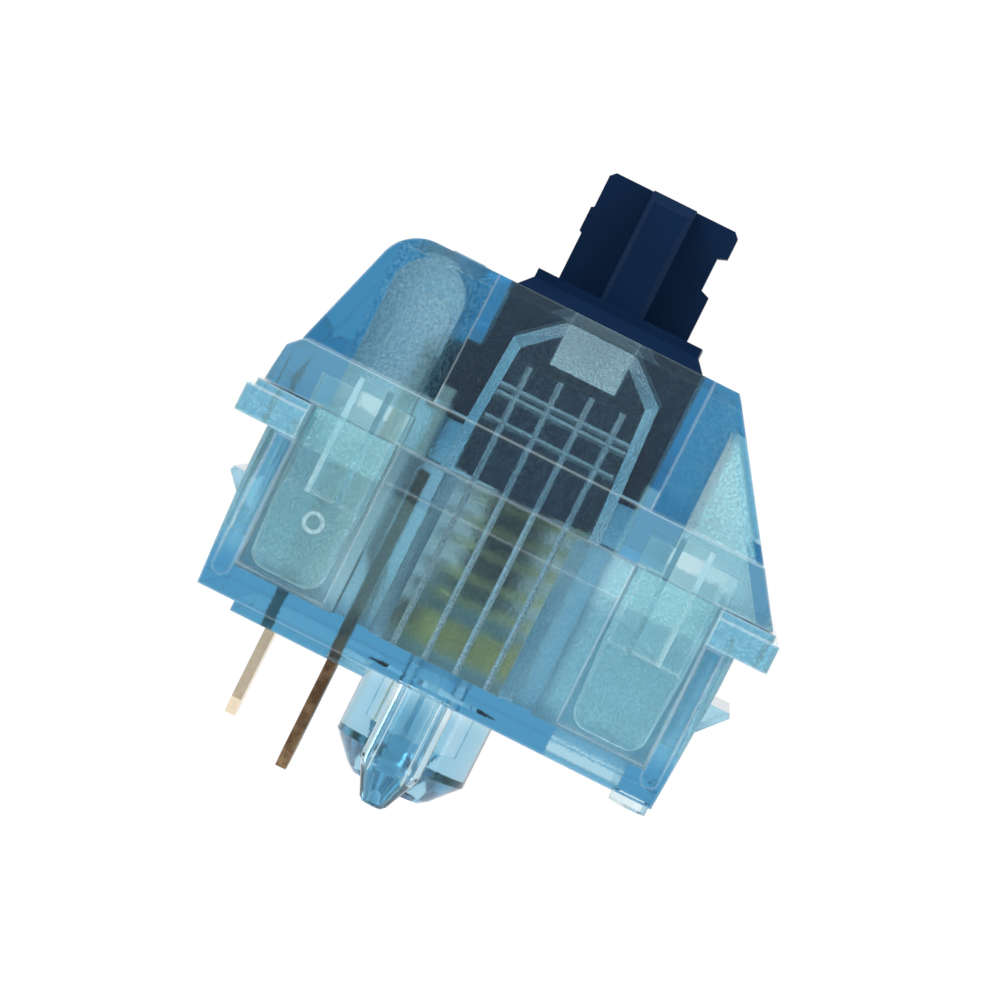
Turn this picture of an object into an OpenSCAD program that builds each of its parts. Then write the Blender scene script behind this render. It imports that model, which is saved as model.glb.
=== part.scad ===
// Mechanical keyboard switch with a clear housing, in millimetres.
// +Z is the way the stem rises. The origin is on the axis of the centre post, where the
// housing sits on the circuit board. +Y is the side with the two contact pins.

/* [Board and plate] */
// Height of the flange over the board
seat_h = 5; // [4.8:0.1:5.4]
// How far the flange stands out from the body
flange_reach = 0.85; // [0.8:0.05:1]
// Thickness of the flange
flange_t = 1; // [0.9:0.05:1.2]
// Inset of the step round the top of the flange
flange_step = 0.2; // [0.1:0.05:0.3]
// Corner radius of the flange
flange_r = 0.3; // [0.2:0.05:0.4]

/* [Bottom housing] */
// Width of the body under the flange
body_w = 13.9; // [13.8:0.05:14]
// Inset of each side of the body at its floor
body_draft = 0.25; // [0.1:0.05:0.35]
// Thickness of the two walls with the plate clips
clip_wall = 0.85; // [0.7:0.05:0.95]
// Depth inside the body between the latch walls
latch_wall = 1.35; // [1.3:0.05:1.4]
// Gap between the floor and the board
foot_h = 0.4; // [0.3:0.05:0.5]
// Thickness of the floor
floor_t = 0.8; // [0.7:0.05:0.85]
// Corner radius of the body
body_r = 0.45; // [0.3:0.05:0.6]
// How far a plate clip reaches out from the body
clip_reach = 0.68; // [0.5:0.02:0.75]
// Width of a plate clip
clip_w = 4.4; // [4:0.1:4.6]
// Thickness of the mounting plate
plate_t = 1.5; // [1.4:0.05:1.6]

/* [Posts] */
// Diameter of the centre post
post_d = 3.9; // [3.8:0.05:4]
// Length of the centre post under the board face
post_len = 2.9; // [2.6:0.1:3.2]
// Height of the chamfer at the end of the centre post
post_chamfer = 0.9; // [0.5:0.1:1]
// Width of the free ring round the centre post
post_relief = 0.9; // [0.85:0.05:1]
// Diameter of a fixation pin
fix_d = 1.7; // [1.6:0.05:1.75]
// Distance between the two fixation pins
fix_pitch = 10.16; // [10.1:0.02:10.2]
// Length of a fixation pin under the board face
fix_len = 2.98; // [2.7:0.1:3.2]
// Height of the taper at the end of a fixation pin
fix_taper = 1.1; // [0.8:0.1:1.3]

/* [Top housing] */
// Height of the top of the tower over the board
tower_top = 11.25; // [11.2:0.05:11.4]
// Height of the skirt over the flange
skirt_h = 1.45; // [1.3:0.05:1.6]
// How far the skirt stands out from the body on the latch sides
skirt_proud = 0.1; // [0.05:0.05:0.15]
// How far the skirt stands back from the edge of the flange
skirt_back = 0.3; // [0.25:0.05:0.4]
// Gap in the seam between the two mouldings
seam_gap = 0.02; // [0.01:0.01:0.04]
// Width of the tower across its latch face
tower_w = 6.4; // [6.4:0.05:6.6]
// Width of the tower top between the latch sides
tower_top_w = 12.2; // [12:0.1:12.6]
// Width of the pocket block and of the wedge behind the tower
block_w = 11.2; // [11:0.1:11.6]
// Gap round the stem in the tower
stem_gap = 0.1; // [0.08:0.01:0.14]
// Thickness of the sloping plate of the wedge
slope_t = 0.4; // [0.35:0.05:0.5]
// Thickness of the two thin end webs of the wedge
web_t = 0.5; // [0.4:0.05:0.6]

/* [Latches] */
// Width of a latch tongue
tongue_w = 2.35; // [2.3:0.05:2.4]
// Distance from the middle to the middle of a tongue
tongue_y = 4.745; // [4.7:0.005:4.78]
// Height of the end of a tongue over the board
tongue_end = 1.5; // [1.4:0.05:1.6]
// Thickness of a tongue
tongue_t = 0.72; // [0.65:0.01:0.75]
// Height of the ledge that holds the hook
ledge_z = 3.9; // [3.7:0.05:4]
// Width of the groove over the ledge
groove_w = 1.0; // [0.9:0.05:1.1]
// Depth of the groove over the ledge
groove_d = 0.36; // [0.3:0.02:0.4]
// Gap between a tongue or a hook and what it fits in
latch_gap = 0.08; // [0.05:0.01:0.1]

/* [Stem] */
// Length of each arm pair of the cross
cross_l = 3.95; // [3.9:0.05:4.1]
// Thickness of the plate of the cross
cross_plate = 1.1; // [1:0.05:1.2]
// Thickness of the rib of the cross
cross_rib = 1.3; // [1.25:0.05:1.35]
// Height of the top of the cross over the board
cross_top = 15.2; // [15:0.1:15.4]
// Height of the top of the collar over the board
collar_top = 11.88; // [11.8:0.02:12]
// Width of the stem body between the latch sides
stem_w = 7.2; // [7.1:0.05:7.3]
// Width of the stem body across
stem_t = 5.6; // [5.55:0.05:5.65]
// Width of a guide wing
wing_w = 4.1; // [4:0.05:4.15]
// Width of the rail on a guide wing
rail_w = 3.3; // [3.2:0.05:3.4]
// Reach of the rail from the middle
rail_reach = 5.1; // [5:0.05:5.15]
// Height of the foot of the wings over the board
wing_foot = 6.1; // [6:0.05:6.3]
// Height of the top of the wings over the board
wing_top = 9.3; // [9.1:0.05:9.4]
// Diameter of the pole
pole_d = 1.8; // [1.7:0.05:1.9]
// Gap between the pole and its bore
pole_gap = 0.06; // [0.04:0.01:0.08]
// Length that the stem travels
travel = 4; // [3.6:0.1:4]

/* [Spring] */
// Diameter of the spring wire
wire_d = 0.25; // [0.22:0.01:0.26]
// Outer diameter of the spring
spring_d = 4.3; // [4.2:0.02:4.34]
// Number of open turns
open_turns = 10; // [9:1:11]

/* [Contacts] */
// Thickness of the fixed contact and of the terminal
sheet_t = 0.3; // [0.26:0.01:0.32]
// Thickness of the leaf
leaf_t = 0.15; // [0.12:0.01:0.16]
// Width of a contact pin
pin_w = 0.9; // [0.8:0.05:1]
// Length of the contact pins under the board face
pin_len = 3.3; // [3.1:0.1:3.5]
// Place of the fixed contact pin along the latch direction
fixed_pin_x = 3.81; // [3.78:0.01:3.84]
// Place of the fixed contact pin from the middle
fixed_pin_y = 2.68; // [2.66:0.01:2.7]
// Place of the moving contact pin along the latch direction
moving_pin_x = 2.54; // [2.5:0.01:2.58]
// Place of the moving contact pin from the middle
moving_pin_y = 4.96; // [4.94:0.01:5]
// Gap between the contact points at rest
contact_gap = 0.38; // [0.36:0.01:0.42]

/* [Hidden] */
$fn = 48;

// How far a cut runs past the face that it opens
over = 0.5;
// Gap between a contact and its slot, and between parts that only rest on each other
slot_gap = 0.03;
rim_z = seat_h + flange_t;
seam_z = rim_z + seam_gap;
flange_w = body_w + 2 * flange_reach;
skirt_w = body_w + 2 * skirt_proud;
skirt_y = flange_w / 2 - skirt_back;
recess_half = tongue_w / 2 + latch_gap + 0.02;
flange_gap = 2 * (tongue_y + recess_half);
floor_z = foot_h + floor_t;
cavity_x = body_w / 2 - latch_wall;
cavity_y = body_w / 2 - clip_wall;
skirt_z = rim_z + skirt_h;

// Channel for the rails of the stem, in line through both mouldings, with four fine ridges
channel_x = rail_reach + 0.22;
channel_half = wing_w / 2 + stem_gap;
ridge_h = 0.08;
ridge_w = 0.17;
ridge_pitch = 0.92;

// Posts that hold the edges of the terminal
plate_half = 3.05;
holder_out = plate_half + 0.55;
holder_top = seat_h + 0.7;

// Top of the slope on the light side, roof of the wing pockets, and arch over the contacts
slope_top_y = 3.9;
pocket_roof = tower_top - 0.45;
arch_y = 4.725;
arch_top = tower_top - 0.38;

// Height of the hollow inside the skirt, under its top
skirt_roof = skirt_z - 0.6;

// Cam legs of the stem
leg_in = 1.7;
leg_out = 2.8;
leg_top = 9.1;
stop_gap = 0.05;

// Seat of the spring in the stem, and the foot of the stem body
spring_seat = 9.7;
body_foot = 7.2;
spring_bore_r = spring_d / 2 + 0.2;
pole_foot = 2.9;
guide_r = 1.6;
guide_top = 3.3;

// Fixed contact: a jogged tongue between the cam legs
jog = 0.47;
strip_in = fixed_pin_x - 0.11;
tongue_mid_y = fixed_pin_y + jog;
fixed_top = 8.2;
arm_top = 3;
point_z = 7.6;
point_h = 0.25;

// Leaf: its fold, its hump and its free end
fold_z = 1.8;
leaf_y = tongue_mid_y + sheet_t / 2 + 2 * point_h + contact_gap + leaf_t / 2;
fold_r = (moving_pin_y - leaf_y) / 2;
fold_y = leaf_y + fold_r;
leaf_top = 8.25;
leaf_wing_top = 8.7;
hump_z = 7.85;
hump_r = 0.875;
hump_reach = 0.27;
cam_gap = 0.05;
nose_y = leaf_y - hump_reach - leaf_t / 2 - cam_gap;

// Draws a profile of Y and Z and pulls it out along X, over the length w
module along_x(w) {
    rotate([90, 0, 90]) linear_extrude(height = w, center = true) children();
}

// Draws a profile of X and Z and pulls it out along Y, over the length w
module along_y(w) {
    rotate([90, 0, 0]) linear_extrude(height = w, center = true) children();
}

// A block between two corners
module span(low, high) {
    translate(low) cube([high[0] - low[0], high[1] - low[1], high[2] - low[2]]);
}

// A square block with round corners, centred on the axis, between two heights
module rounded_block(x, y, r, z0, z1) {
    translate([0, 0, z0]) {
        translate([-x / 2 + r, -y / 2, 0]) cube([x - 2 * r, y, z1 - z0]);
        translate([-x / 2, -y / 2 + r, 0]) cube([x, y - 2 * r, z1 - z0]);
        for (i = [-1, 1], j = [-1, 1])
            translate([i * (x / 2 - r), j * (y / 2 - r), 0]) cylinder(r = r, h = z1 - z0);
    }
}

// Section of a ridge on a channel wall, with two slanting sides
module ridge_profile() {
    polygon([[0.1, -ridge_w / 2], [0, -ridge_w / 2], [-ridge_h, 0], [0, ridge_w / 2], [0.1, ridge_w / 2]]);
}

// Ridge that stands up along a channel wall on the +X side
module upright_ridge(y, z0, z1) {
    translate([0, 0, z0]) linear_extrude(height = z1 - z0)
        translate([channel_x, y]) ridge_profile();
}

// The same shape on both latch sides
module both_x() {
    children();
    mirror([1, 0, 0]) children();
}

// The same shape on both sides of the latch faces
module both_y() {
    children();
    mirror([0, 1, 0]) children();
}

// A block with a drafted or sloping side all round, between two heights
module tapered(low_x, low_y, high_x, high_y, z0, z1) {
    intersection() {
        along_x(2 * max(low_x, high_x)) polygon([[-low_y, z0], [low_y, z0], [high_y, z1], [-high_y, z1]]);
        along_y(2 * max(low_y, high_y)) polygon([[-low_x, z0], [low_x, z0], [high_x, z1], [-high_x, z1]]);
    }
}

// Bottom housing

module centre_post() {
    tip_r = post_d / 2 - 0.68;
    translate([0, 0, -post_len + post_chamfer])
        cylinder(r = post_d / 2, h = post_len - post_chamfer + foot_h + 0.1);
    translate([0, 0, -post_len + 0.15])
        cylinder(r1 = tip_r, r2 = post_d / 2, h = post_chamfer - 0.15);
    translate([0, 0, -post_len]) cylinder(r1 = tip_r - 0.2, r2 = tip_r, h = 0.15);
}

// One fixation pin with a tapered end and four grooves along its sides
module fixation_pin() {
    tip_r = 0.4;
    groove_r = 0.17;
    groove_foot = -fix_len + fix_taper - 0.3;
    translate([fix_pitch / 2, 0, 0]) difference() {
        union() {
            translate([0, 0, -fix_len + fix_taper])
                cylinder(r = fix_d / 2, h = fix_len - fix_taper + foot_h + 0.1);
            translate([0, 0, -fix_len + 0.1])
                cylinder(r1 = tip_r, r2 = fix_d / 2, h = fix_taper - 0.1);
            translate([0, 0, -fix_len]) cylinder(r1 = tip_r - 0.1, r2 = tip_r, h = 0.1);
        }
        for (a = [45:90:315])
            rotate([0, 0, a]) translate([fix_d / 2 + 0.05, 0, groove_foot])
                cylinder(r = groove_r, h = foot_h - groove_foot, $fn = 24);
    }
}

// Wedge on a clip wall that snaps under the mounting plate
module plate_clip() {
    clip_tip = body_w / 2 + clip_reach;
    clip_z = seat_h - plate_t - 0.17;
    clip_foot = clip_z - 1.03;
    wall_y = body_w / 2 - body_draft - 0.2;
    along_x(clip_w) polygon([[wall_y, clip_z - 0.1], [wall_y + 0.3, clip_z], [clip_tip - 0.05, clip_z],
        [clip_tip, clip_z - 0.14], [wall_y + 0.33, clip_foot], [wall_y, clip_foot]]);
}

// Slots that free the clip wall on each side of a plate clip
module clip_slots() {
    slot_in = clip_w / 2 + 0.2;
    slot_w = 0.45;
    both_x() span([slot_in, cavity_y - over, 1.9], [slot_in + slot_w, body_w / 2 + over, seat_h - 0.25]);
}

// Shallow panel with a round foot between a tongue recess and the corner
module corner_panel() {
    panel_half = 0.24;
    panel_y = tongue_y + recess_half + 0.07 + panel_half;
    foot_z = foot_h + 0.7;
    translate([body_w / 2 - 0.25, panel_y, foot_z]) rotate([0, 90, 0]) cylinder(r = panel_half, h = 1);
    span([body_w / 2 - 0.25, panel_y - panel_half, foot_z],
        [body_w / 2 + over, panel_y + panel_half, seat_h - 0.12]);
}

// Recess in the latch wall that takes one tongue
module tongue_recess() {
    span([skirt_w / 2 - tongue_t - latch_gap, tongue_y - recess_half, tongue_end - 0.15],
        [flange_w / 2 + over, tongue_y + recess_half, rim_z + over]);
}

// Hook in the recess that the tongue's ledge snaps under
module latch_hook() {
    root = skirt_w / 2 - tongue_t - latch_gap;
    out = groove_d;
    hook_w = groove_w - 2 * latch_gap;
    foot = ledge_z + latch_gap;
    translate([0, tongue_y, 0]) along_y(hook_w)
        polygon([[root - 0.1, foot], [root + out, foot], [root + out, foot + 0.2], [root, foot + 1.1],
            [root - 0.1, foot + 1.1]]);
}

// Guide block beside a wing, stepped to suit the wing and its rail
module guide_block(outer_y) {
    inner_x = stem_w / 2 + stem_gap;
    step_x = stem_w / 2 + 0.9;
    wing_y = channel_half;
    rail_y = rail_w / 2 + stem_gap;
    translate([0, 0, floor_z - 0.1]) linear_extrude(height = rim_z - floor_z)
        polygon([[inner_x, wing_y], [step_x, wing_y], [channel_x, rail_y], [cavity_x + 0.1, rail_y],
            [cavity_x + 0.1, outer_y], [inner_x, outer_y]]);
}

// Posts with slots that hold the side edges of the terminal
module terminal_post() {
    span([plate_half - 0.3, leaf_y + 0.2, floor_z - 0.1], [holder_out, cavity_y + 0.1, holder_top]);
}

module bottom_housing() {
    guide_in = stem_w / 2 + stem_gap;
    contact_half = sheet_t / 2 + slot_gap;
    strip_x = fixed_pin_x + pin_w / 2 + slot_gap;
    color("skyblue", 0.6) difference() {
        union() {
            difference() {
                union() {
                    intersection() {
                        tapered(body_w / 2 - body_draft, body_w / 2 - body_draft,
                            body_w / 2, body_w / 2, foot_h, seat_h + 0.1);
                        rounded_block(body_w - 0.1, body_w - 0.1, body_r, foot_h, seat_h + 0.1);
                    }
                    span([-body_w / 2, -body_w / 2 + over, seat_h], [body_w / 2, body_w / 2 - over, rim_z]);
                    rounded_block(flange_w, flange_w, flange_r, seat_h, rim_z - 0.22);
                    rounded_block(flange_w - 2 * flange_step, flange_w - 2 * flange_step, flange_r,
                        seat_h, rim_z);
                }
                // The open inside
                span([-cavity_x, -cavity_y, floor_z], [cavity_x, cavity_y, rim_z + over]);
                // The gap in the flange on each latch side
                both_x() span([body_w / 2, -flange_gap / 2, seat_h - over],
                    [flange_w / 2 + over, flange_gap / 2, rim_z + over]);
                both_x() both_y() tongue_recess();
                both_x() both_y() corner_panel();
                both_y() clip_slots();
            }
            both_x() both_y() latch_hook();
            both_y() plate_clip();
            // Pad on the contact side, kept clear of the post, and two round feet on the light side
            difference() {
                span([-5.3, 1.7, 0], [5.3, 5.7, foot_h + 0.1]);
                translate([0, 0, -over]) cylinder(r = post_d / 2 + post_relief, h = foot_h + over);
            }
            both_x() translate([4.6, -body_w / 2 + 0.81, 0]) cylinder(r = 0.55, h = foot_h + 0.1);
            centre_post();
            both_x() fixation_pin();
            // Guide tube that centres the spring and takes the pole
            translate([0, 0, floor_z - 0.1]) cylinder(r = guide_r, h = guide_top - floor_z - 0.1);
            translate([0, 0, guide_top - 0.2]) cylinder(r1 = guide_r, r2 = guide_r - 0.2, h = 0.2);
            both_x() guide_block(3.2);
            both_x() mirror([0, 1, 0]) guide_block(2.75);
            both_x() terminal_post();
            // Ribs between the body and the light side
            both_x() span([guide_in, -cavity_y - 0.1, floor_z - 0.1], [guide_in + 0.5, -2.7, 4.4]);
            // Wall of the channel, with four fine ridges that the rails run along
            both_x() span([channel_x, -rail_w / 2 - 0.3, floor_z - 0.1],
                [cavity_x + 0.1, rail_w / 2 + 0.3, rim_z]);
            both_x() for (i = [-1.5:1:1.5]) upright_ridge(i * ridge_pitch, floor_z - 0.1, rim_z);
        }
        // Bore for the pole, with a lead-in
        translate([0, 0, pole_foot - travel - 0.25])
            cylinder(r = pole_d / 2 + pole_gap, h = guide_top - pole_foot + travel + 1);
        translate([0, 0, guide_top - 0.15])
            cylinder(r1 = pole_d / 2 + pole_gap, r2 = pole_d / 2 + pole_gap + 0.2, h = 0.2);
        // Slot for the strip of the fixed contact, with its wide mouth
        span([-strip_x, fixed_pin_y - contact_half, -over],
            [-fixed_pin_x + pin_w / 2 + slot_gap, fixed_pin_y + contact_half, rim_z + over]);
        span([-strip_x - 0.2, fixed_pin_y - 0.5, seat_h - 0.05],
            [-strip_in + over, fixed_pin_y + 0.62, rim_z + over]);
        // Slots for the edges and the pin of the terminal
        span([-plate_half - 0.05, moving_pin_y - contact_half, floor_z + 0.1],
            [plate_half + 0.05, moving_pin_y + contact_half, holder_top + over]);
        span([moving_pin_x - pin_w / 2 - slot_gap, moving_pin_y - contact_half, -over],
            [moving_pin_x + pin_w / 2 + slot_gap, moving_pin_y + contact_half, holder_top + over]);
        // Light window in the floor
        span([-2.4, -5.7, -over], [2.4, -3.5, floor_z + over]);
    }
}

// Top housing

// Outline of a tongue, with a round foot, drawn in by the inset
module tongue_outline(inset) {
    half = tongue_w / 2 - inset;
    foot_half = half - 0.12;
    foot_r = 0.5 - inset;
    foot_z = tongue_end + inset;
    polygon([[-foot_half, foot_z + foot_r], [-foot_half + foot_r, foot_z],
        [foot_half - foot_r, foot_z], [foot_half, foot_z + foot_r],
        [half, ledge_z], [half, skirt_z - 0.3], [-half, skirt_z - 0.3], [-half, ledge_z]]);
    for (i = [-1, 1]) translate([i * (foot_half - foot_r), foot_z + foot_r]) circle(r = foot_r);
}

// Groove behind a tongue, from the ledge up into the skirt, on the +X side
module latch_groove() {
    inner = skirt_w / 2 - tongue_t;
    foot = inner + groove_d + latch_gap;
    bevel = 0.16;
    translate([0, tongue_y, ledge_z]) linear_extrude(height = skirt_z - 0.25 - ledge_z)
        polygon([[inner - over, -groove_w / 2], [foot - bevel, -groove_w / 2],
            [foot, -groove_w / 2 + bevel], [foot, groove_w / 2 - bevel],
            [foot - bevel, groove_w / 2], [inner - over, groove_w / 2]]);
}

// One latch tongue with its chamfered rim and its ledge, at its place on the +X side
module latch_tongue() {
    outer = skirt_w / 2;
    inner = outer - tongue_t;
    bevel = 0.16;
    translate([0, tongue_y, 0]) intersection() {
        hull() {
            translate([inner + 0.1, 0, 0]) along_x(0.2) tongue_outline(0);
            translate([outer - bevel, 0, 0]) along_x(0.02) tongue_outline(0);
            translate([outer - 0.01, 0, 0]) along_x(0.02) tongue_outline(bevel);
        }
        along_y(2 * tongue_w) polygon([[inner + 0.3, tongue_end], [outer - 0.12, tongue_end],
            [outer - 0.06, ledge_z - 0.04], [outer, ledge_z + 0.04], [outer, skirt_z - 0.3],
            [inner, skirt_z - 0.3], [inner, tongue_end + 1]]);
    }
}

// Raised ring left by the mould on one tongue
module ring_mark() {
    ring_r = 0.29;
    translate([-skirt_w / 2 + 0.1, tongue_y - 0.12, ledge_z - 0.7]) rotate([0, -90, 0]) difference() {
        cylinder(r = ring_r, h = 0.07);
        translate([0, 0, -over]) cylinder(r = ring_r - 0.09, h = 1);
    }
}

// Profile of the pocket block over the contacts, from its foot to its rounded top
module block_profile() {
    corner_r = 1.2;
    root_y = tower_w / 2 - 0.4;
    shoulder_y = flange_w / 2 - 2.7;
    polygon([[root_y, seam_z], [skirt_y - 0.3, seam_z], [skirt_y - 0.36, skirt_z],
        [shoulder_y + corner_r * cos(13), tower_top - corner_r * (1 - sin(13))],
        [shoulder_y, tower_top - 0.3], [shoulder_y, tower_top], [root_y, tower_top]]);
    translate([shoulder_y, tower_top - corner_r]) circle(r = corner_r);
}

// Profile of the pocket that the contacts stand in: an arch
module arch_profile(half, mid, top) {
    translate([mid, top - half]) circle(r = half);
    translate([mid - half, rim_z - over]) square([2 * half, top - half - rim_z + over]);
}

// Profile of the light side: from the tower wall down the slope
module wedge_profile() {
    polygon([[-stem_t / 2, seam_z], [-skirt_y, seam_z], [-slope_top_y - 0.12, tower_top - 0.15],
        [-slope_top_y, tower_top], [-stem_t / 2, tower_top]]);
}

// Profile of the hollow under the slope. The inner face runs along the outer one
module wedge_hollow() {
    run = (skirt_y - slope_top_y - 0.12) / (tower_top - 0.15 - seam_z);
    inset = slope_t * sqrt(1 + run * run);
    wall_y = slope_top_y + 0.29;
    polygon([[-wall_y, rim_z - over], [-skirt_y + inset - run * over, rim_z - over],
        [-wall_y, seam_z + (skirt_y - inset - wall_y) / run]]);
}

// Outline of the block and the wedge seen from the light side, leaning in towards the top
module block_outline() {
    half = block_w / 2;
    polygon([[-half - 0.15, seam_z], [half + 0.15, seam_z], [half - 0.1, tower_top - 0.4],
        [half - 0.5, tower_top + 0.1], [-half + 0.5, tower_top + 0.1], [-half + 0.1, tower_top - 0.4]]);
}

// Profile of the pocket for a guide wing, with a cornered roof and a wider mouth
module wing_profile(inset) {
    half = channel_half - inset;
    roof_half = 1.05 - 0.4 * inset;
    roof_z = pocket_roof - inset;
    eave_z = roof_z - 0.95 + 0.4 * inset;
    polygon([[-half - 0.25, rim_z - over], [half + 0.25, rim_z - over], [half + 0.2, rim_z + 0.4],
        [half, skirt_z - 0.1], [half, eave_z], [roof_half, roof_z], [-roof_half, roof_z],
        [-half, eave_z], [-half, skirt_z - 0.1], [-half - 0.2, rim_z + 0.4]]);
}

// Pocket for a guide wing on the +X side, bevelled round its outer wall, with a sloping block in its roof
module wing_pocket() {
    bevel = 0.3;
    inner_x = channel_x - bevel;
    difference() {
        union() {
            translate([inner_x / 2, 0, 0]) along_x(inner_x) wing_profile(0);
            hull() {
                translate([inner_x - 0.01, 0, 0]) along_x(0.02) wing_profile(0);
                translate([channel_x - 0.01, 0, 0]) along_x(0.02) wing_profile(bevel);
            }
        }
        along_y(1.9) polygon([[channel_x + 0.1, wing_top + 0.25], [channel_x + 0.1, pocket_roof + 0.1],
            [stem_w / 2 + 0.3, pocket_roof + 0.1], [stem_w / 2 + 0.3, pocket_roof - 0.05]]);
    }
}

// Fine ridges on the outer wall of the wing pocket on the +X side, in rows and columns
module pocket_ridges() {
    rows = [wing_top - 1.68, wing_top - 0.97, wing_top - 0.73];
    for (i = [-1.5:1:1.5]) upright_ridge(i * ridge_pitch, seam_z, wing_top);
    for (z = rows) along_y(2 * channel_half - 0.5) translate([channel_x, z]) ridge_profile();
}

module top_housing() {
    open_x = stem_w / 2 + stem_gap;
    open_y = stem_t / 2 + stem_gap;
    inner_y = skirt_y - 1.4;
    color("skyblue", 0.6) union() {
        difference() {
            union() {
                // Skirt
                intersection() {
                    rounded_block(skirt_w, 2 * skirt_y, 0.4, seam_z, skirt_z);
                    along_x(skirt_w) polygon([[-skirt_y, seam_z], [skirt_y, seam_z],
                        [skirt_y - 0.15, skirt_z - 0.35], [skirt_y - 0.5, skirt_z],
                        [-skirt_y + 0.97, skirt_z]]);
                }
                // Tower
                along_y(tower_w) polygon([[-skirt_w / 2, seam_z], [skirt_w / 2, seam_z],
                    [skirt_w / 2 - 0.1, skirt_z], [tower_top_w / 2 + 0.06, tower_top - 0.3],
                    [tower_top_w / 2 - 0.2, tower_top], [-tower_top_w / 2 + 0.2, tower_top],
                    [-tower_top_w / 2 - 0.06, tower_top - 0.3], [-skirt_w / 2 + 0.1, skirt_z]]);
                // Pocket block and wedge
                intersection() {
                    along_y(2 * flange_w) block_outline();
                    union() {
                        along_x(2 * block_w) block_profile();
                        along_x(2 * block_w) wedge_profile();
                    }
                }
                both_x() both_y() latch_tongue();
                // Raised lip over the pocket
                along_x(block_w - 1.4) polygon([[3.5, tower_top - 0.1], [3.7, tower_top + 0.03],
                    [4.6, tower_top + 0.03], [4.8, tower_top - 0.1]]);
            }
            // Opening for the stem
            span([-open_x, -open_y, rim_z - over], [open_x, open_y, tower_top + over]);
            both_x() wing_pocket();
            // Pocket for the contacts and the cam legs
            along_x(2 * 4.8) arch_profile(1.025, arch_y, arch_top);
            along_x(2 * 5.2) arch_profile(0.685, arch_y - 0.21, arch_top - 0.91);
            span([-open_x, open_y - over, rim_z - over], [open_x, arch_y - 0.5, leg_top + stop_gap]);
            // Hollow of the wedge and the skirt
            along_x(block_w - 2 * web_t) wedge_hollow();
            both_x() span([stem_w / 2 + 0.6, -inner_y, rim_z - over], [6.2, -tower_w / 2 - 0.3, skirt_roof]);
            both_x() span([4.7, tower_w / 2 + 0.3, rim_z - over], [6.2, inner_y + 0.1, skirt_roof]);
            both_x() both_y() latch_groove();
            // Light window through the slope
            span([-2.45, -skirt_y + 0.5, skirt_z + 0.35], [2.45, -slope_top_y - 0.38, tower_top - 1.05]);
        }
        both_x() pocket_ridges();
        ring_mark();
    }
}

// Stem

// Cross that carries the keycap
module cross() {
    half = cross_l / 2;
    edge = 0.15;
    foot = collar_top - 0.1;
    bump_z = (collar_top + cross_top) / 2 + 0.15;
    notch_z = bump_z + 0.14;
    difference() {
        union() {
            along_x(cross_plate) polygon([[-half, foot], [half, foot], [half, cross_top - edge],
                [half - edge, cross_top], [-half + edge, cross_top], [-half, cross_top - edge]]);
            along_x(cross_plate) polygon([[half - 0.1, bump_z - 0.46], [half + 0.08, bump_z - 0.36],
                [half + 0.08, bump_z + 0.36], [half - 0.1, bump_z + 0.46]]);
            intersection() {
                along_y(cross_rib) polygon([[-half, foot], [half, foot], [half, cross_top - 0.3],
                    [half - 0.3, cross_top], [-half + 0.3, cross_top], [-half, cross_top - 0.3]]);
                translate([0, 0, foot]) linear_extrude(height = cross_top - foot + over)
                    polygon([[-half, -cross_rib / 2 + edge], [-half + edge, -cross_rib / 2],
                        [half - edge, -cross_rib / 2], [half, -cross_rib / 2 + edge],
                        [half, cross_rib / 2 - edge], [half - edge, cross_rib / 2],
                        [-half + edge, cross_rib / 2], [-half, cross_rib / 2 - edge]]);
            }
        }
        // Notch in one end of the plate
        along_x(cross_plate + 1) polygon([[-half - 0.5, notch_z - 0.6], [-half, notch_z - 0.59],
            [-half + 0.27, notch_z - 0.49], [-half + 0.27, notch_z + 0.49], [-half, notch_z + 0.59],
            [-half - 0.5, notch_z + 0.6]]);
    }
}

// Cam leg that pushes one wing of the leaf away while the stem is up
module cam_leg() {
    slope = 0.09;
    root_y = stem_t / 2 - 0.1;
    translate([(leg_in + leg_out) / 2, 0, 0]) along_x(leg_out - leg_in)
        polygon([[root_y, body_foot], [nose_y - 0.35, body_foot], [nose_y, body_foot + 0.5], [nose_y, hump_z],
            [nose_y - slope * (leg_top - hump_z), leg_top], [root_y, leg_top]]);
}

module stem() {
    collar_in = 0.33;
    collar_foot = collar_top - 0.26;
    chamfer_foot = collar_top - 0.64;
    color("midnightblue") union() {
        cross();
        difference() {
            union() {
                span([-stem_w / 2, -stem_t / 2, body_foot], [stem_w / 2, stem_t / 2, chamfer_foot]);
                tapered(stem_w / 2, stem_t / 2, stem_w / 2 - collar_in, stem_t / 2 - collar_in,
                    chamfer_foot, collar_foot);
                span([-stem_w / 2 + collar_in, -stem_t / 2 + collar_in, collar_foot - 0.05],
                    [stem_w / 2 - collar_in, stem_t / 2 - collar_in, collar_top]);
                // Guide wings with their rails
                span([-stem_w / 2 - 0.8, -wing_w / 2, wing_foot], [stem_w / 2 + 0.8, wing_w / 2, wing_top]);
                span([-rail_reach, -rail_w / 2, wing_foot], [rail_reach, rail_w / 2, wing_top]);
                both_x() cam_leg();
            }
            // Room for the spring
            translate([0, 0, wing_foot - over])
                cylinder(r = spring_bore_r, h = spring_seat - wing_foot + over);
            span([-stem_w / 2 + 1.1, -wing_w, wing_foot - over], [stem_w / 2 - 1.1, wing_w, body_foot]);
        }
        // Pole with a rounded end
        translate([0, 0, pole_foot + 0.25]) cylinder(r = pole_d / 2, h = spring_seat - pole_foot);
        translate([0, 0, pole_foot]) cylinder(r1 = pole_d / 2 - 0.25, r2 = pole_d / 2, h = 0.25);
    }
}

// Spring

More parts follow.
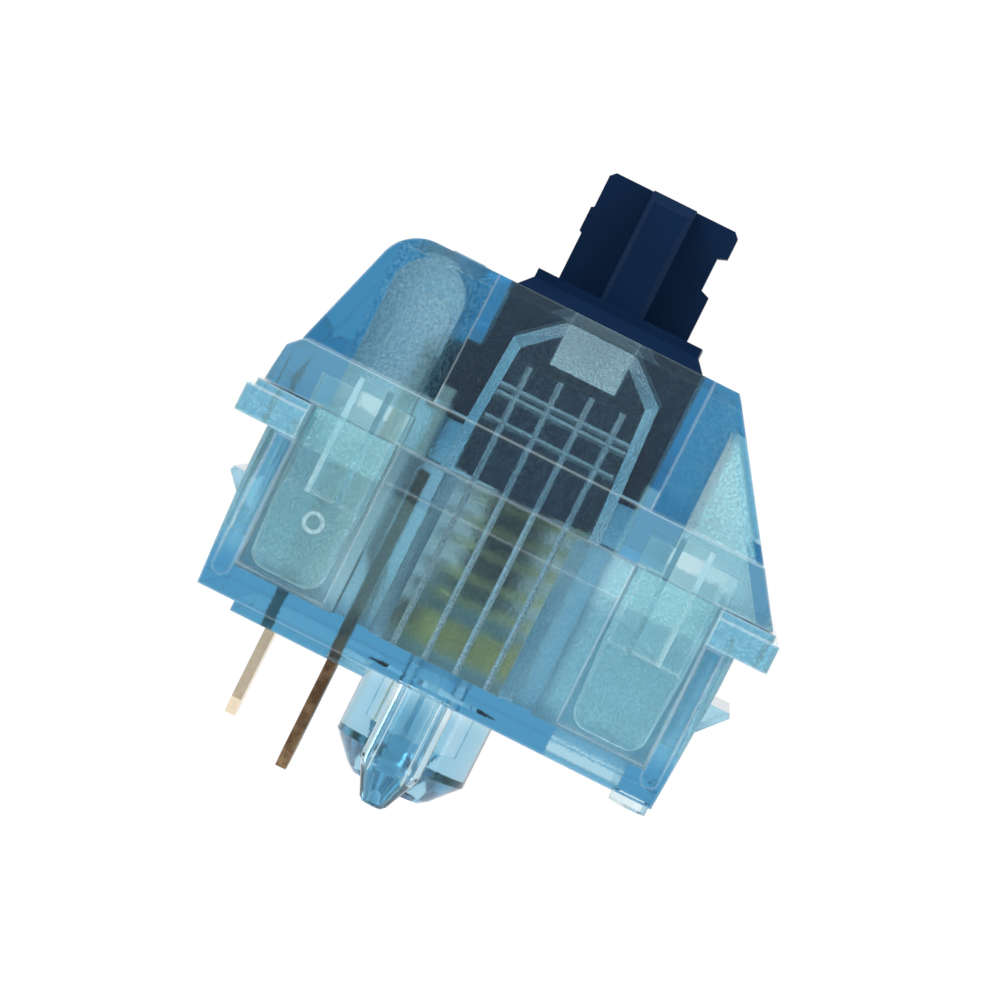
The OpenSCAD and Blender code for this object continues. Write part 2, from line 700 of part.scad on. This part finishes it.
function spring_height(turn, closed_low, closed_high, low, high) =
    let (closed = wire_d * 1.02, open_h = high - low - closed * (closed_low + closed_high))
    turn <= closed_low ? low + closed * turn
    : turn <= closed_low + open_turns ? low + closed * closed_low + open_h * (turn - closed_low) / open_turns
    : low + closed * closed_low + open_h + closed * (turn - closed_low - open_turns);

module return_spring() {
    closed_low = 3.5;
    closed_high = 1.5;
    low = floor_z + wire_d / 2 + slot_gap;
    high = spring_seat - wire_d / 2 - slot_gap;
    steps = 24;
    sides = 8;
    coil_r = (spring_d - wire_d) / 2;
    turns = closed_low + open_turns + closed_high;
    rings = floor(turns * steps);
    points = [for (i = [0:rings]) let (a = 360 * i / steps,
        z = spring_height(i / steps, closed_low, closed_high, low, high))
        for (j = [0:sides - 1]) let (b = 360 * j / sides, r = coil_r + wire_d / 2 * cos(b))
            [r * cos(a), r * sin(a), z + wire_d / 2 * sin(b)]];
    walls = [for (i = [0:rings - 1], j = [0:sides - 1]) let (k = (j + 1) % sides)
        [i * sides + j, i * sides + k, (i + 1) * sides + k, (i + 1) * sides + j]];
    ends = [[for (j = [sides - 1:-1:0]) j], [for (j = [0:sides - 1]) rings * sides + j]];
    color("gold") polyhedron(points = points, faces = concat(walls, ends));
}

// Contacts

// Pin with a pointed end, as a profile of X and Z about its middle
module pin_profile(top) {
    half = pin_w / 2;
    polygon([[-half, top], [-half, -pin_len + 0.5], [-half + 0.2, -pin_len], [half - 0.2, -pin_len],
        [half, -pin_len + 0.5], [half, top]]);
}

module fixed_contact() {
    half = sheet_t / 2;
    tongue_half = 1.1;
    bend_low = 2.2;
    bend_high = arm_top;
    strip_top = seat_h + 0.65;
    color("peru") union() {
        translate([0, fixed_pin_y, 0]) along_y(sheet_t) union() {
            translate([-fixed_pin_x, 0]) pin_profile(arm_top);
            polygon([[-fixed_pin_x - pin_w / 2, floor_z + 0.1], [tongue_half, floor_z + 0.1],
                [tongue_half, bend_low], [-tongue_half, bend_low], [-tongue_half - 0.4, arm_top - 0.2],
                [-fixed_pin_x + pin_w / 2, arm_top], [-strip_in, arm_top],
                [-strip_in, strip_top - 0.2], [-strip_in - 0.2, strip_top],
                [-fixed_pin_x - pin_w / 2, strip_top]]);
        }
        // Tongue with its jog towards the leaf
        along_x(2 * tongue_half) polygon([[fixed_pin_y - half, bend_low - 0.1],
            [fixed_pin_y + half, bend_low - 0.1], [fixed_pin_y + half, bend_low],
            [tongue_mid_y + half, bend_high], [tongue_mid_y + half, fixed_top],
            [tongue_mid_y - half, fixed_top], [tongue_mid_y - half, bend_high + 0.05],
            [fixed_pin_y - half, bend_low + 0.05]]);
    }
}

// Half-round bar of a contact point, lying along X or along Z
module point_bar(length) {
    intersection() {
        cylinder(r = point_h, h = length, center = true, $fn = 32);
        translate([-point_h, 0, -length / 2]) cube([2 * point_h, point_h, length]);
    }
}

module fixed_contact_point() {
    color("gold") translate([0, tongue_mid_y + sheet_t / 2, point_z])
        rotate([0, 90, 0]) point_bar(1.2);
}

module moving_contact_terminal() {
    foot = fold_z + slot_gap;
    cut_half = leg_in + 0.1;
    plate_top = seat_h + 0.6;
    color("peru") translate([0, moving_pin_y, 0]) along_y(sheet_t) union() {
        translate([moving_pin_x, 0]) pin_profile(foot + 0.3);
        difference() {
            polygon([[-plate_half, foot], [plate_half - 0.06, foot], [plate_half, foot + 0.3],
                [plate_half, plate_top - 0.3], [plate_half - 0.3, plate_top],
                [-plate_half + 0.3, plate_top], [-plate_half, plate_top - 0.3]]);
            translate([-cut_half / 2, 3.2]) square([cut_half, 1.4]);
        }
    }
}

// Profile of the hump on a wing of the leaf
module hump_profile() {
    centre_y = leaf_y - hump_reach + hump_r;
    difference() {
        translate([centre_y, hump_z]) circle(r = hump_r + leaf_t / 2);
        translate([centre_y, hump_z]) circle(r = hump_r - leaf_t / 2);
        translate([leaf_y + leaf_t / 2, hump_z - 2]) square([4, 4]);
    }
}

module moving_contact_leaf() {
    half = leaf_t / 2;
    base_half = leg_in + 0.1;
    wing_in = leg_in + 0.05;
    wing_out = leg_out + 0.05;
    hump_half = sqrt(hump_r * hump_r - (hump_r - hump_reach) * (hump_r - hump_reach));
    slot_foot = 3.2;
    tongue_half = 0.8;
    color("peru") union() {
        // Fold under the terminal, round the axis that the leaf swings about
        difference() {
            translate([0, fold_y, fold_z]) rotate([0, 90, 0])
                cylinder(r = fold_r + half, h = 2 * base_half, center = true);
            translate([0, fold_y, fold_z]) rotate([0, 90, 0])
                cylinder(r = fold_r - half, h = 2 * base_half + 1, center = true);
            span([-3, fold_y - 2, fold_z], [3, fold_y + 2, fold_z + 2]);
        }
        span([-base_half, leaf_y - half, fold_z - 0.001], [base_half, leaf_y + half, slot_foot]);
        span([-tongue_half, leaf_y - half, slot_foot - 0.1], [tongue_half, leaf_y + half, leaf_top]);
        both_x() span([wing_in, leaf_y - half, slot_foot - 0.9],
            [wing_out, leaf_y + half, hump_z - hump_half + 0.04]);
        both_x() span([wing_in, leaf_y - half, hump_z + hump_half - 0.04],
            [wing_out, leaf_y + half, leaf_wing_top]);
        both_x() translate([(wing_in + wing_out) / 2, 0, 0]) along_x(wing_out - wing_in) hump_profile();
    }
}

module moving_contact_point() {
    color("gold") translate([0, leaf_y - leaf_t / 2, point_z])
        rotate([0, 0, 180]) point_bar(1.2);
}

bottom_housing();
top_housing();
stem();
return_spring();
fixed_contact();
fixed_contact_point();
moving_contact_terminal();
moving_contact_leaf();
moving_contact_point();
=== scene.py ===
import math

import bpy
from mathutils import Matrix, Vector


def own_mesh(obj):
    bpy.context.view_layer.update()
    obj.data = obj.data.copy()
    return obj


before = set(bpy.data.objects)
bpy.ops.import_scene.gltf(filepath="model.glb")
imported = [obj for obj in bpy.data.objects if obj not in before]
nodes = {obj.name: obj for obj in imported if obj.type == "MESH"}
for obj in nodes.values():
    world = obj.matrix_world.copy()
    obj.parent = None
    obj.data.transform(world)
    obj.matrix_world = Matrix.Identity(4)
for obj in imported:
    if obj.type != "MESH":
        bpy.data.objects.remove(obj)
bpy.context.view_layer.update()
mm = 0.001


# Bottom housing. One moulding in clear light blue polycarbonate, with the flange, the centre
# post, two fixation pins and the guide tube. It is polished outside, with a light haze on its
# latch faces, and frosted inside, where the cores of the mould shaped it.

class Reading:
    """A value in a shader tree. Arithmetic on it adds the Math nodes."""

    def __init__(self, finish, socket):
        self.finish = finish
        self.socket = socket

    def math(self, operation, first, second=None):
        return self.finish.node("ShaderNodeMath", {"operation": operation}, [first, second])

    def __add__(self, other):
        return self.math("ADD", self, other)

    def __radd__(self, other):
        return self.math("ADD", other, self)

    def __sub__(self, other):
        return self.math("SUBTRACT", self, other)

    def __rsub__(self, other):
        return self.math("SUBTRACT", other, self)

    def __mul__(self, other):
        return self.math("MULTIPLY", self, other)

    def __rmul__(self, other):
        return self.math("MULTIPLY", other, self)

    def __neg__(self):
        return self.math("MULTIPLY", self, -1.0)

    def __abs__(self):
        return self.math("ABSOLUTE", self)

    def most(self, other):
        """The larger of two values."""
        return self.math("MAXIMUM", self, other)

    def rise(self, low, high):
        """0 under low, 1 over high, and smooth between them."""
        settings = {"interpolation_type": "SMOOTHSTEP"}
        sockets = {"Value": self, "From Min": low, "From Max": high}
        return self.finish.node("ShaderNodeMapRange", settings, sockets)

    def fall(self, low, high):
        """1 under low, 0 over high, and smooth between them."""
        return 1 - self.rise(low, high)


class Finish:
    """The node tree of one material, or of the world."""

    def __init__(self, owner, output="ShaderNodeOutputMaterial"):
        self.owner = owner
        owner.use_nodes = True
        self.tree = owner.node_tree
        self.tree.nodes.clear()
        self.output = self.tree.nodes.new(output)

    def node(self, kind, settings, sockets, out=0):
        """Adds any node: settings first, then the values or links of its sockets."""
        made = self.tree.nodes.new(kind)
        for key, value in settings.items():
            setattr(made, key, value)
        pairs = sockets.items() if isinstance(sockets, dict) else enumerate(sockets)
        for key, value in pairs:
            if value is None:
                continue
            if isinstance(value, Reading):
                self.tree.links.new(value.socket, made.inputs[key])
            else:
                made.inputs[key].default_value = value
        return Reading(self, made.outputs[out])

    def point(self, kind="Object"):
        """The coordinates of a place on the piece."""
        return self.node("ShaderNodeTexCoord", {}, {}, out=kind)

    def axes(self, point):
        """The X, Y and Z of a point."""
        split = self.tree.nodes.new("ShaderNodeSeparateXYZ")
        self.tree.links.new(point.socket, split.inputs[0])
        return [Reading(self, split.outputs[axis]) for axis in "XYZ"]

    def noise(self, point, size, detail=2.0):
        """Noise whose features are about size metres across."""
        sockets = {"Vector": point, "Scale": 1 / size, "Detail": detail}
        return self.node("ShaderNodeTexNoise", {}, sockets, out="Fac")

    def bump(self, height, depth):
        sockets = {"Strength": 1.0, "Distance": depth, "Height": height}
        return self.node("ShaderNodeBump", {}, sockets, out="Normal")

    def blend(self, factor, first, second):
        """A colour between two colours."""
        sockets = {0: factor, 6: first, 7: second}
        return self.node("ShaderNodeMix", {"data_type": "RGBA"}, sockets, out=2)

    def principled(self, sockets):
        return self.node("ShaderNodeBsdfPrincipled", {}, sockets)

    def show(self, shader, socket="Surface"):
        """Links a shader to the output."""
        self.tree.links.new(shader.socket, self.output.inputs[socket])

    def give(self, *names):
        """Puts the material on the frame's nodes of these names."""
        for name in names:
            data = nodes[name].data
            data.materials.clear()
            data.materials.append(self.owner)


core_half = 5.95 * mm
core_soft = 0.08 * mm
mark_y = 4.625 * mm
mark_z = 3.2 * mm
mark_face = 6.97 * mm
clear_gloss = 0.05
# Radius of the edge mask for the painted highlight
painted_highlight_radius = 0.13 * mm
clear_white = (0.93, 0.975, 0.99, 1.0)
post_blue = (0.64, 0.8, 0.87, 1.0)
frost_white = (0.97, 0.99, 1.0, 1.0)
haze_blue = (0.46, 0.94, 1.0, 1.0)
# Colour of the painted highlight along the edges
painted_highlight_white = (0.86, 0.96, 1.0, 1.0)
shine_blue = (0.4, 0.72, 1.0, 1.0)


def clear_blue(name, low, high, lean, frost, painted_light_side, painted_shade_side, tint, density):
    """Clear blue polycarbonate.

    It is frosted between low and high, in Y and Z, where the cores of the mould were. The low
    side leans by lean. Its frosted inside is painted lighter below Y = -3.1 mm (painted light)
    and darker above it, on the side of the contacts (painted shade). It has a haze on the latch
    faces, the skirt and the web, and a painted highlight along the edges.
    """
    finish = Finish(bpy.data.materials.new(name))
    point = finish.point()
    x, y, z = finish.axes(point)

    # Frosting inside, and on the small ring mark of a tongue
    core = abs(x).fall(core_half - core_soft, core_half + core_soft)
    core = core * (y - z * lean).rise(low[0] - core_soft, low[0] + core_soft)
    core = core * y.fall(high[0] - core_soft, high[0] + core_soft)
    core = core * z.rise(low[1] - core_soft, low[1] + core_soft)
    core = core * z.fall(high[1] - core_soft, high[1] + core_soft)
    from_mark = (y - mark_y) * (y - mark_y) + (z - mark_z) * (z - mark_z)
    ring = from_mark.rise(0.036 * mm * mm, 0.045 * mm * mm)
    ring = ring * from_mark.fall(0.083 * mm * mm, 0.095 * mm * mm)
    ring = ring * (-x).rise(mark_face, mark_face + 0.03 * mm)
    core = core.most(ring)

    # The relief of the surface: fine grain, a ripple, and the orange peel of the moulding
    grain = finish.noise(point, 0.08 * mm)
    speckle = grain.rise(0.38, 0.66)
    ripple = finish.noise(point, 0.2 * mm, 1.0)
    orange_peel = finish.noise(point, 0.7 * mm, 1.0)
    relief = (grain + ripple * 0.5) * (0.12 + core * 0.88) + orange_peel * 0.4
    normal = finish.bump(relief, 0.01 * mm)

    # Painted light and shade: the frosted inside is painted lighter below Y = -3.1 mm and darker
    # above it, on the side of the contacts
    inside = finish.blend(y.rise(-3.3 * mm, -2.9 * mm), painted_light_side, painted_shade_side)
    inside = finish.blend(speckle * 0.55, inside, frost_white)
    outside = finish.blend(z.rise(-0.5 * mm, 0.0), post_blue, clear_white)
    clear = finish.principled({
        "Base Color": finish.blend(core, outside, inside),
        "Roughness": clear_gloss + core * frost,
        "IOR": 1.45,
        "Transmission Weight": 0.985,
        "Specular Tint": shine_blue,
        "Normal": normal,
    })

    # Painted highlight: a pale haze is laid along every edge, where the bevel's rounded normal
    # parts from the true normal, in place of the light that rounded edges would catch
    rounded = finish.node("ShaderNodeBevel", {"samples": 4}, {"Radius": painted_highlight_radius})
    flat = finish.node("ShaderNodeNewGeometry", {}, {}, out="True Normal")
    alike = finish.node("ShaderNodeVectorMath", {"operation": "DOT_PRODUCT"},
                        {0: rounded, 1: flat}, out="Value")
    painted_edge_highlight = (1 - alike).rise(0.01, 0.25)
    haze = finish.principled({
        "Base Color": finish.blend(painted_edge_highlight, haze_blue, painted_highlight_white),
        "Roughness": 0.5,
        "Normal": normal,
    })

    # Where the haze lies, and how dense it is
    latch_face = abs(x).rise(6.0 * mm, 6.3 * mm)
    latch_face = latch_face * z.rise(1.2 * mm, 2.0 * mm) * z.fall(5.96 * mm, 6.0 * mm)
    beside_window = y.rise(3.4 * mm, 3.6 * mm) + (-y).rise(2.7 * mm, 3.1 * mm)
    flange_haze = z.rise(4.85 * mm, 4.95 * mm) * 0.1
    face_haze = beside_window * (0.1 + speckle * 0.09 + flange_haze)
    by_contact = y.rise(1.9 * mm, 2.1 * mm) * y.fall(3.4 * mm, 3.6 * mm)
    by_contact = by_contact * z.fall(4.7 * mm, 4.9 * mm)
    skirt = abs(x).rise(5.9 * mm, 6.0 * mm) * abs(y).rise(2.7 * mm, 2.9 * mm)
    skirt = skirt * z.rise(6.0 * mm, 6.05 * mm) * z.fall(7.95 * mm, 8.05 * mm)
    web = core * (-y).rise(4.3 * mm, 4.5 * mm) * z.rise(6.5 * mm, 7.5 * mm)
    haziness = core * speckle * 0.07 + (face_haze + by_contact * 0.07) * latch_face
    haziness = haziness + skirt * 0.14 + web * (0.2 + speckle * 0.12)
    # The painted edge highlight thickens the haze along every edge
    haziness = haziness + ring * 0.16 + painted_edge_highlight * 0.25

    finish.show(finish.node("ShaderNodeMixShader", {}, {0: haziness, 1: clear, 2: haze}))
    finish.show(finish.node("ShaderNodeVolumeAbsorption", {}, {"Color": tint, "Density": density}),
                "Volume")
    return finish


# Its frosted inside gets two tones, a lighter one as painted light and a darker one as painted
# shade.
lower = clear_blue(
    "clear_blue_lower", low=(-6.4 * mm, 0.8 * mm), high=(6.4 * mm, 6.5 * mm), lean=0.0, frost=0.24,
    painted_light_side=(0.55, 0.78, 0.88, 1.0), painted_shade_side=(0.48, 0.68, 0.78, 1.0),
    tint=(0.0, 0.56, 0.77, 1.0), density=200.0)
lower.give("bottom_housing")


# Top housing. The second moulding in the same clear polycarbonate: the tower round the stem,
# the pocket over the contacts, the wedge, and four tongues that snap over the lower moulding.
# The frosted part of it leans with the slope of the wedge.
# Its frosted inside gets two tones, a lighter one as painted light and a darker one as painted
# shade.
upper = clear_blue(
    "clear_blue_upper", low=(-11.38 * mm, 5.5 * mm), high=(5.95 * mm, 11.05 * mm), lean=0.685,
    frost=0.22, painted_light_side=(0.84, 0.88, 0.91, 1.0), painted_shade_side=(0.42, 0.62, 0.74, 1.0),
    tint=(0.0, 0.57, 0.77, 1.0), density=290.0)
upper.give("top_housing")


# Stem. One moulding in navy acetal, satin, with the cross for the keycap, the collar,
# two guide wings, two cam legs and the pole inside the spring.
navy = Finish(bpy.data.materials.new("navy_plastic"))
navy_dark = (0.0006, 0.011, 0.040, 1.0)
navy_light = (0.0018, 0.017, 0.056, 1.0)
flow = navy.noise(navy.point(), 1.6 * mm, 3.0)
fine_grain = navy.noise(navy.point(), 0.05 * mm)
navy.show(navy.principled({
    "Base Color": navy.blend(flow, navy_dark, navy_light),
    "Roughness": 0.4 + flow * 0.12,
    "Specular IOR Level": 0.08,
    "Normal": navy.bump(fine_grain, 0.002 * mm),
}))
navy.give("stem")


# Return spring. Hard-drawn steel wire, gold plated, coiled round the guide tube and held in
# the bore of the stem, with its closed end turns flat.
spring_gold = Finish(bpy.data.materials.new("spring_wire"))
gold_dark = (0.60, 0.46, 0.10, 1.0)
gold_light = (0.86, 0.72, 0.24, 1.0)
draw_lines = spring_gold.noise(spring_gold.point(), 0.08 * mm)
spring_gold.show(spring_gold.principled({
    "Base Color": spring_gold.blend(draw_lines, gold_dark, gold_light),
    "Metallic": 1.0,
    "Roughness": 0.22 + draw_lines * 0.12,
}))
spring_gold.give("return_spring")
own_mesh(nodes["return_spring"])


# Fixed contact. A strip of dark tarnished bronze, stamped flat, whose pin goes down through
# the floor beside the post and whose tongue is jogged to stand in front of the leaf.
bronze = Finish(bpy.data.materials.new("bronze_sheet"))
bronze_dark = (0.15, 0.09, 0.05, 1.0)
bronze_light = (0.30, 0.2, 0.115, 1.0)
tarnish = bronze.noise(bronze.point(), 0.35 * mm, 4.0)
bronze.show(bronze.principled({
    "Base Color": bronze.blend(tarnish.rise(0.35, 0.65), bronze_dark, bronze_light),
    "Metallic": 0.9,
    "Roughness": 0.34 + tarnish * 0.2,
    "Normal": bronze.bump(tarnish, 0.004 * mm),
}))
bronze.give("fixed_contact")


# Moving contact. Bright copper alloy: a stiff terminal with the outer pin, and a thin leaf
# folded up from it, with two humped wings that the stem's legs hold back.
copper = Finish(bpy.data.materials.new("copper_sheet"))
copper_dark = (0.82, 0.68, 0.48, 1.0)
copper_light = (1.0, 0.88, 0.7, 1.0)
rolling = copper.noise(copper.point(), 0.25 * mm, 3.0)
copper.show(copper.principled({
    "Base Color": copper.blend(rolling, copper_dark, copper_light),
    "Metallic": 1.0,
    "Roughness": 0.24 + rolling * 0.14,
}))
copper.give("moving_contact_terminal", "moving_contact_leaf")


# Contact points. Two short half-round bars of gold alloy wire, welded crosswise so that
# they meet in one spot.
point_gold = Finish(bpy.data.materials.new("contact_gold"))
point_dark = (0.72, 0.52, 0.16, 1.0)
point_light = (0.92, 0.74, 0.30, 1.0)
weld = point_gold.noise(point_gold.point(), 0.12 * mm)
point_gold.show(point_gold.principled({
    "Base Color": point_gold.blend(weld, point_dark, point_light),
    "Metallic": 1.0,
    "Roughness": 0.2 + weld * 0.1,
}))
point_gold.give("fixed_contact_point", "moving_contact_point")


# Studio. A pale floor well under the switch and a white world, with three soft lamps. Metal
# and glass see the same white as the camera, less of it from the front and from straight up,
# so that the clear plastic keeps its depth.
floor_z = -0.03
floor_half = 2.0
floor_data = bpy.data.meshes.new("floor")
floor_corners = [(-floor_half, -floor_half, floor_z), (floor_half, -floor_half, floor_z),
                 (floor_half, floor_half, floor_z), (-floor_half, floor_half, floor_z)]
floor_data.from_pydata(floor_corners, [], [(0, 1, 2, 3)])
floor = bpy.data.objects.new("floor", floor_data)
bpy.context.scene.collection.objects.link(floor)
white = (1.0, 1.0, 1.0, 1.0)


def backdrop(finish, kind, lit, dimmed):
    """White to the camera, to reflections and through glass, and lit to all other light."""
    path = finish.tree.nodes.new("ShaderNodeLightPath")
    ray_names = ("Is Camera Ray", "Is Glossy Ray", "Is Transmission Ray")
    camera_ray, glossy_ray, glass_ray = [Reading(finish, path.outputs[name]) for name in ray_names]
    seen = camera_ray.most(glossy_ray.most(glass_ray))
    strength = camera_ray.most(1 - dimmed)
    shown = finish.node(kind, {}, {"Color": white, "Strength": strength})
    finish.show(finish.node("ShaderNodeMixShader", {}, {0: seen, 1: lit, 2: shown}))


floor_finish = Finish(bpy.data.materials.new("studio_floor"))
floor_x = floor_finish.axes(floor_finish.point())[0]
matt = floor_finish.node("ShaderNodeBsdfDiffuse", {}, {"Color": (0.8, 0.8, 0.8, 1.0)})
backdrop(floor_finish, "ShaderNodeEmission", matt, (-floor_x).rise(0.02, 0.15) * 0.5)
floor_data.materials.append(floor_finish.owner)

world = bpy.data.worlds.new("studio_world")
bpy.context.scene.world = world
air = Finish(world, "ShaderNodeOutputWorld")
air_x, _, air_up = air.axes(air.point("Generated"))
soft_light = air.node("ShaderNodeBackground", {}, {"Color": white, "Strength": 0.75})
front_dim = (-air_x).rise(0.4, 0.95) * 0.55
top_dim = air_up.rise(0.5, 0.95) * 0.5
backdrop(air, "ShaderNodeBackground", soft_light, front_dim + top_dim)

aim = Vector((-0.035, 0.7065, 5.6547)) * mm
lamps = [("key", (-0.10, 0.14, 0.16), 0.12, 0.35),
         ("fill", (-0.14, -0.16, 0.05), 0.16, 0.18),
         ("back", (0.14, -0.05, 0.14), 0.14, 0.2)]
for name, place, size, power in lamps:
    lamp_data = bpy.data.lights.new(name, "AREA")
    lamp_data.size = size
    lamp_data.energy = power
    lamp = bpy.data.objects.new(name, lamp_data)
    lamp.location = place
    lamp.rotation_euler = (aim - Vector(place)).to_track_quat("-Z", "Y").to_euler()
    bpy.context.scene.collection.objects.link(lamp)


# Camera. Nearly level, close to a latch side, and rolled, so that the switch leans in the
# picture. Its place was worked out from the outline of the housing.
view_azimuth = math.radians(1.798)
view_elevation = math.radians(2.329)
view_roll = math.radians(26.504)
view_distance = 129.075 * mm
lens_per_sensor = 4.6443
light_bounces = 24
back = Vector((-math.cos(view_azimuth) * math.cos(view_elevation),
               -math.sin(view_azimuth) * math.cos(view_elevation),
               math.sin(view_elevation)))
level_right = (-back).cross(Vector((0, 0, 1))).normalized()
level_up = level_right.cross(-back)
right = level_right * math.cos(view_roll) + level_up * math.sin(view_roll)
up = level_up * math.cos(view_roll) - level_right * math.sin(view_roll)
turn = Matrix((right, up, back)).transposed().to_4x4()
camera_data = bpy.data.cameras.new("camera")
camera_data.sensor_width = 36.0
camera_data.lens = lens_per_sensor * camera_data.sensor_width
camera_data.clip_start = 0.005
camera_data.clip_end = 10.0
camera = bpy.data.objects.new("camera", camera_data)
camera.matrix_world = Matrix.Translation(aim + back * view_distance) @ turn
bpy.context.scene.collection.objects.link(camera)
bpy.context.scene.camera = camera
bpy.context.scene.view_settings.view_transform = "Standard"
bpy.context.scene.cycles.max_bounces = light_bounces
bpy.context.scene.cycles.transmission_bounces = light_bounces
bpy.context.scene.cycles.transparent_max_bounces = light_bounces
